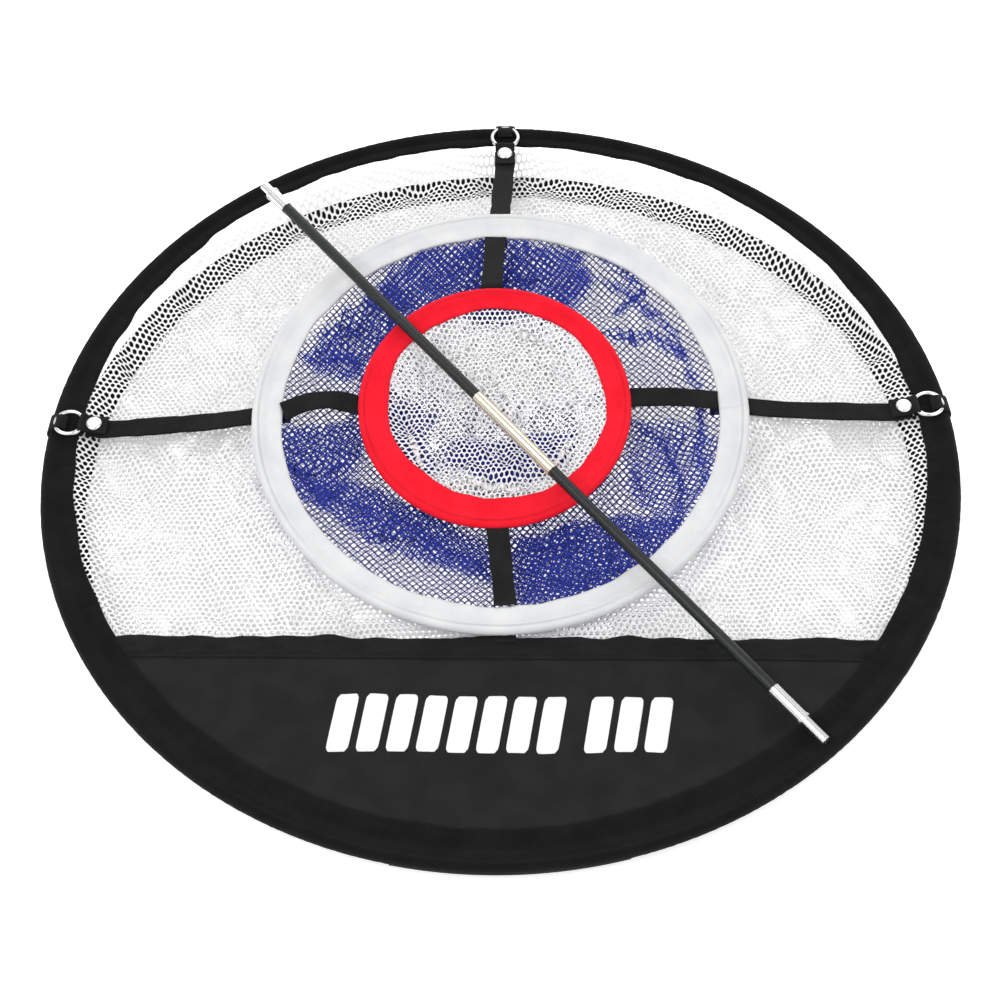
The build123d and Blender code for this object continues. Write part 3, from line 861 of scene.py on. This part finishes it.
# ---------------------------------------------------------------- webbing and tapes
def spaced_along(path, step):
    """Points every step millimetres along a smooth line through path."""
    path = np.asarray(path, float)
    ends = np.concatenate([[2 * path[0] - path[1]], path, [2 * path[-1] - path[-2]]])
    out = []
    for k in range(1, len(ends) - 2):
        p0, p1, p2, p3 = ends[k - 1 : k + 3]
        n = max(2, int(np.linalg.norm(p2 - p1) / step))
        for t in np.arange(n) / n:
            square = (2 * p0 - 5 * p1 + 4 * p2 - p3) * t * t
            cube = (3 * p1 - p0 - 3 * p2 + p3) * t**3
            out.append(0.5 * (2 * p1 + (p2 - p0) * t + square + cube))
    out.append(path[-1])
    return np.array(out)


# A tape's cross-section: shares of half its width and half its thickness
TAPE_TOP = [(-0.985, 0.7), (-0.9, 1), (-0.5, 1), (0, 1), (0.5, 1), (0.9, 1), (0.985, 0.7)]
TAPE_PROFILE = [(-1, 0), *TAPE_TOP, (1, 0), *[(a, -b) for a, b in reversed(TAPE_TOP)]]


def webbing(name, path, across, width, thick, seed, wobble=0.25, step=1.5):
    """A flat woven tape along path (frame millimetres), its width lying along across, with uneven edges."""
    line = spaced_along(path, step)
    n = len(line)
    along = np.gradient(line, axis=0)
    along /= np.linalg.norm(along, axis=1)[:, None]
    across = np.broadcast_to(np.asarray(across, float), line.shape)
    side = across - (across * along).sum(1)[:, None] * along
    side /= np.linalg.norm(side, axis=1)[:, None]
    up = np.cross(side, along)
    run = np.concatenate([[0], np.cumsum(np.linalg.norm(np.diff(line, axis=0), axis=1))])
    uneven = ripple(200 + seed, 6, 9, 40)
    w = width / 2 + wobble * uneven(run, 0 * run)
    points, lay = [], []
    ribs = 0.06 * np.sin(run * 2 * PI / 1.6)
    for a, b in TAPE_PROFILE:
        cup = 0.35 * wobble * (a * a - 0.4)
        points.append(line + side * (a * w)[:, None] + up * (b * (thick / 2 + ribs) + cup)[:, None])
        lay.append(np.stack([run, np.full(n, a * width / 2)], -1))
    points = np.stack(points, 1).reshape(-1, 3)
    lay = np.stack(lay, 1).reshape(-1, 2)
    m = len(TAPE_PROFILE)
    quads = grid_quads(n, m, False, True)
    caps = []
    for start in (0, (n - 1) * m):
        for k in range(m // 2 - 1):
            caps.append([start + k, start + k + 1, start + m - 2 - k, start + m - 1 - k])
    return mesh_piece(name, points, np.concatenate([quads, caps]), WEBBING, lay)


def target_point(x, s, h):
    return target.world([(x, s, h)])[0]


STRAP_WIDTH, STRAP_THICK = 12.0, 1.2

# Each outer strap's angle on the target hoop, and where it ends at the middle hoop
OUTER_STRAPS = {
    "right": (6.5, (126.0, 24.0, 12.5)),
    "rear": (88.0, (2.0, 145.0, 22.5)),
    "left": (173.0, (-124.0, 26.0, 12.5)),
}
# Paths of the strap's flap, the tab and its tongue: radius and height on the target hoop
FLAP_PATH = [
    (221.9, 5.1),
    (226, 5.2),
    (231.5, 5.3),
    (234.2, 6.4),
    (236.0, 7.15),
    (237.5, 6.1),
    (237.7, 4.5),
    (236.4, 3.3),
    (234.4, 3.35),
]
TAB_PATH = [
    (250.0, 5.0),
    (252.6, 4.6),
    (254.6, 3.3),
    (255.6, 1.2),
    (255.7, -1.2),
    (254.8, -3.4),
    (252.4, -4.6),
    (248.5, -4.7),
    (242.4, -4.3),
]
TONGUE_PATH = [(245.6, 4.1), (246.4, 5.4), (247.6, 6.5), (249.4, 6.5), (251.6, 5.7), (253.6, 4.6)]
for side, (angle, end) in OUTER_STRAPS.items():
    turn = math.radians(angle)
    out = np.array([math.cos(turn), math.sin(turn)])

    def at(radius, height):
        return target_point(out[0] * radius, out[1] * radius, height)

    across = np.array([-out[1], out[0], 0]) @ target.axes
    # The strap lies flat under the press stud, then runs to the middle hoop and in under its sleeve
    stop = np.array(end)
    start = np.array([*(out * 222.0), 1.6])
    inward = (stop - start) / np.linalg.norm(stop - start)
    path = [at(233.8, 1.9), at(228.5, 1.9), at(222.0, 1.6)]
    for share, bow in ((0.3, -0.9), (0.62, -1.2), (0.88, 0.4)):
        spot = start + (stop - start) * share + np.array([0, 0, bow])
        path.append(target.world([spot])[0])
    path.append(target.world([stop])[0])
    path.append(target.world([stop + inward * 8 + np.array([0, 0, -0.9])])[0])
    strap = webbing(f"{side}_outer_webbing", path, across, STRAP_WIDTH, STRAP_THICK, seed=len(side))
    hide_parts(f"{side}_outer_strap")
    near, far = target.world([stop])[0] * MM, at(214.0, 1.5) * MM
    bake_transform(strap)
    # The flap loops round the O-ring and back over the strap
    flap = webbing(
        f"{side}_flap_webbing",
        [at(*spot) for spot in FLAP_PATH],
        across,
        11.8,
        1.0,
        seed=20 + len(side),
        wobble=0.12,
        step=0.7,
    )
    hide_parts(f"{side}_strap_flap")
    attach(flap, f"{side}_flap")
    # The tab holds the O-ring on the target hoop's sleeve
    tab = webbing(
        f"{side}_tab_webbing",
        [at(*spot) for spot in TAB_PATH],
        across,
        11.6,
        0.8,
        seed=40 + len(side),
        wobble=0.1,
        step=0.8,
    )
    tongue = webbing(
        f"{side}_tab_tongue",
        [at(*spot) for spot in TONGUE_PATH],
        across,
        9.2,
        0.9,
        seed=60 + len(side),
        wobble=0.1,
        step=0.7,
    )
    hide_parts(f"{side}_ring_tab")
    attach(tab, "target_frame")
    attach(tongue, "target_frame")

FRONT_STRAP_X = 0.5
FRONT_STRAP_PATH = [(-121.0, 0.9), (-117.0, 0.6), (-109, 0.2), (-102, 0.4)]
front = webbing(
    "front_outer_webbing",
    [target_point(FRONT_STRAP_X, s, h) for s, h in FRONT_STRAP_PATH],
    (1, 0, 0),
    STRAP_WIDTH,
    STRAP_THICK,
    seed=80,
)
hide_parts("front_outer_strap")
near, far = (tuple(target_point(FRONT_STRAP_X, s, 0) * MM) for s in (-103, -117))
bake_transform(front)

# Each inner strap's angle on the middle hoop, and how far it bows sideways
INNER_STRAPS = {"right": (2.0, -1.0), "rear": (90.0, 0.0), "left": (178.0, 5.0), "front": (270.0, 0.0)}
for side, (angle, sag) in INNER_STRAPS.items():
    turn = math.radians(angle)
    out = np.array([math.cos(turn), math.sin(turn)])
    start = middle.world([(*(out * 121.2), 1.2)])[0]
    stop = centre.world([(*(out * 76.8), 0)])[0]
    under = centre.world([(*(out * 70.0), -3.4)])[0]
    sideways = np.array([-out[1], out[0], 0]) @ middle.axes
    path = [start]
    for share in (0.3, 0.6, 0.85):
        bow = math.sin(PI * share)
        path.append(start + (stop - start) * share + sideways * (-sag) * bow + middle.axes[2] * 0.8 * bow)
    path += [stop, under]
    piece = webbing(f"{side}_inner_webbing", path, sideways, STRAP_WIDTH, STRAP_THICK, seed=90 + len(side))
    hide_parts(f"{side}_inner_strap")
    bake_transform(piece)


# ---------------------------------------------------------------- the front panel
soft_a, soft_b, soft_c = ripple(71, 8, 60, 160), ripple(72, 10, 18, 50), ripple(73, 8, 5, 10)
BINDING_EDGE = -117.6
HEM_START, HEM_THICK = -131.0, 1.8
CLOTH_EDGE, CLOTH_THICK = -123.5, 0.8


PANEL_TURN = math.radians(-2.1)


def on_panel(points):
    """Panel millimetres, turned a little about the target's normal, to frame millimetres."""
    c, s = math.cos(PANEL_TURN), math.sin(PANEL_TURN)
    points = np.asarray(points, float)
    x, y = points[:, 0], points[:, 1]
    return target.world(np.stack([c * x - s * y, s * x + c * y, points[:, 2]], -1))


def panel_height(x, s):
    """Soft wrinkles of the panel over the target plane, calm at its edges."""
    r = np.hypot(x, s)
    free = smooth((238 - r) / 26) * smooth((-124.0 - s) / 14)
    pull = np.sin(np.arctan2(s, x) * 95) * 0.22 * smooth((r - 196) / 30)
    return (0.9 * soft_a(x, s) + 0.42 * soft_b(x, s)) * free + pull * smooth((239 - r) / 10)


def edge_wave(x):
    return 0.9 * soft_b(x, 0 * x + 300)


def slab(name, x, s, top, thick, material, body):
    """A cloth slab over a grid of x and s, top millimetres high, closed all round."""
    upper = np.stack([x, s, top], -1).reshape(-1, 3)
    lower = np.stack([x, s, top - thick], -1).reshape(-1, 3)
    points = np.concatenate([upper, lower])
    obj = mesh_piece(name, on_panel(points), slab_quads(*x.shape), material, points[:, :2])
    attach(obj, body)
    return obj


def chord_grid(low, high, radius, rows, columns, wave=None):
    s = np.linspace(low, high, rows)[:, None] + np.zeros((1, columns))
    u = np.linspace(-1, 1, columns)[None, :]
    x = u * np.sqrt(np.maximum(radius**2 - s**2, 1))
    if wave is not None:
        s = s + wave(x) * smooth((s - low) / (high - low))
    return x, s


x, s = chord_grid(-238.2, CLOTH_EDGE, 238.6, 96, 280)
lift = panel_height(x, s) + CLOTH_THICK / 2
cloth = slab("front_panel_cloth", x, s, lift, CLOTH_THICK, PANEL, "target_frame")
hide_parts("front_panel")
x, s = chord_grid(HEM_START, BINDING_EDGE + 0.2, 238.2, 14, 320, edge_wave)
t = (s - HEM_START) / (BINDING_EDGE - HEM_START)
rise = HEM_THICK / 2 - 0.45 * bump_at(t - 0.14, 0.1) - 0.3 * smooth((t - 0.9) / 0.1)
rise = rise + 0.18 * soft_c(x, s) * smooth(t * 4) + panel_height(x, s) * (1 - smooth(t))
hem = slab("panel_hem", x, s, rise, HEM_THICK, BINDING, "target_frame")
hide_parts("panel_binding")


# ---------------------------------------------------------------- the print: slanted bars in two groups
BAR_COUNTS = (8, 3)
BAR_PITCH, GROUP_GAP = 15.4, 9.0
BAR_HALF_WIDTH, BAR_HALF_HEIGHT, BAR_HALF_SLANT = 5.75, 16.5, 2.5
PRINT_CENTRE = (3.2, -170.0)
INK_THICK = 0.3


def printed_bars():
    total = (sum(BAR_COUNTS) - 1) * BAR_PITCH + GROUP_GAP
    left = PRINT_CENTRE[0] - total / 2
    n = 0
    all_points, all_quads = [], []
    for count in BAR_COUNTS:
        for _ in range(count):
            u, v = np.meshgrid(np.linspace(-1, 1, 9), np.linspace(-1, 1, 17), indexing="xy")
            corner = 0.9 * (np.abs(u) ** 8) * (np.abs(v) ** 12)
            x = left + u * (BAR_HALF_WIDTH - corner) + v * BAR_HALF_SLANT
            s = PRINT_CENTRE[1] + v * (BAR_HALF_HEIGHT - corner)
            worn = 0.12 * np.maximum(np.abs(u), np.abs(v)) ** 10
            top = panel_height(x, s) + CLOTH_THICK / 2 + INK_THICK - worn
            upper = np.stack([x, s, top], -1).reshape(-1, 3)
            lower = np.stack([x, s, top - INK_THICK], -1).reshape(-1, 3)
            all_points.append(np.concatenate([upper, lower]))
            all_quads.append(slab_quads(*u.shape) + n)
            n += 2 * u.size
            left += BAR_PITCH
        left += GROUP_GAP
    points = np.concatenate(all_points)
    obj = mesh_piece("panel_bars", on_panel(points), np.concatenate(all_quads), INK)
    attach(obj, "target_frame")
    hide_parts("panel_print")


printed_bars()

# ---------------------------------------------------------------- the hinge tape
HINGE_Z = 3.6
TAPE_RADIUS = 4.35
TAPE_INNER_SHARE = 0.84


def hinge_tape():
    """Tape over the front of the base hoop's sleeve, as two sheets closed round their rim."""
    rows = []
    for turn in np.radians(np.arange(256, 284.01, 0.5)):
        ring = []
        for up in np.radians(np.arange(-8, 99, 8)):
            out, high = BASE_WIRE + math.cos(up) * TAPE_RADIUS, HINGE_Z + math.sin(up) * TAPE_RADIUS
            ring.append((math.cos(turn) * out, math.sin(turn) * out, high))
        rows.append(ring)
    outer = np.array(rows)
    inner = outer.copy()
    radial = np.hypot(outer[..., 0], outer[..., 1])
    scale = (BASE_WIRE + (radial - BASE_WIRE) * TAPE_INNER_SHARE) / radial
    inner[..., :2] *= scale[..., None]
    inner[..., 2] = HINGE_Z + (outer[..., 2] - HINGE_Z) * TAPE_INNER_SHARE
    place = base.world(np.concatenate([outer.reshape(-1, 3), inner.reshape(-1, 3)]))
    quads = slab_quads(*outer.shape[:2])
    tape = mesh_piece("front_tape", place, quads, BINDING, place[:, [0, 2]])
    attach(tape, "base")
    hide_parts("front_hinge_tape")


hinge_tape()


# ---------------------------------------------------------------- floor, light and camera
def floor():
    lit = {"Emission_Color": (1, 1, 1, 1), "Emission_Strength": 0.58}
    mat = material("studio floor", (0.9, 0.9, 0.905), 0.8, **lit)[0]
    size, steps = 9000.0, 40
    g = np.linspace(-size, size, steps)
    x, y = np.meshgrid(g, g, indexing="xy")
    away = np.maximum(np.hypot(x, y) - 3500, 0)
    points = np.stack([x, y, (away / 100) ** 2 * 0.5 - 0.3], -1).reshape(-1, 3)
    mesh_piece("studio_floor", points, grid_quads(steps, steps), mat)


def area_light(name, place, size, power):
    """A square white light at place (metres), facing the object."""
    data = bpy.data.lights.new(name, "AREA")
    data.shape, data.size, data.size_y, data.energy = "RECTANGLE", size, size, power
    light = bpy.data.objects.new(name, data)
    light.location = place
    light.rotation_euler = (-Vector(place)).to_track_quat("-Z", "Y").to_euler()
    bpy.context.scene.collection.objects.link(light)


def studio():
    floor()
    area_light("key", (-1.2, -0.9, 2.6), 2.2, 44)
    area_light("fill", (1.7, -1.0, 2.0), 2.4, 20)
    area_light("back", (0.3, 2.2, 2.0), 2.2, 26)
    world = bpy.data.worlds.new("studio")
    world.use_nodes = True
    world.node_tree.nodes["Background"].inputs["Color"].default_value = (1, 1, 1, 1)
    world.node_tree.nodes["Background"].inputs["Strength"].default_value = 0.62
    bpy.context.scene.world = world
    bpy.context.scene.view_settings.view_transform = "Standard"


SENSOR = 36.0
FOCAL_SHARE = 2.338
ROLL = -1.4545


def camera():
    """The photograph's view: from the front at about 49 degrees, 1.3 m away, rolled a little."""
    data = bpy.data.cameras.new("camera")
    data.sensor_width = SENSOR
    data.lens = FOCAL_SHARE * SENSOR
    data.clip_start, data.clip_end = 0.05, 60
    cam = bpy.data.objects.new("camera", data)
    aim = Vector(target_point(-0.36, -20.2, -10.4) * MM)
    cam.location = Vector(target_point(-0.36, -778.5, 1045.6) * MM)
    look = (aim - cam.location).to_track_quat("-Z", "Y").to_matrix()
    cam.rotation_euler = (look @ Matrix.Rotation(math.radians(ROLL), 3, "Z")).to_euler()
    bpy.context.scene.collection.objects.link(cam)
    bpy.context.scene.camera = cam


studio()
camera()
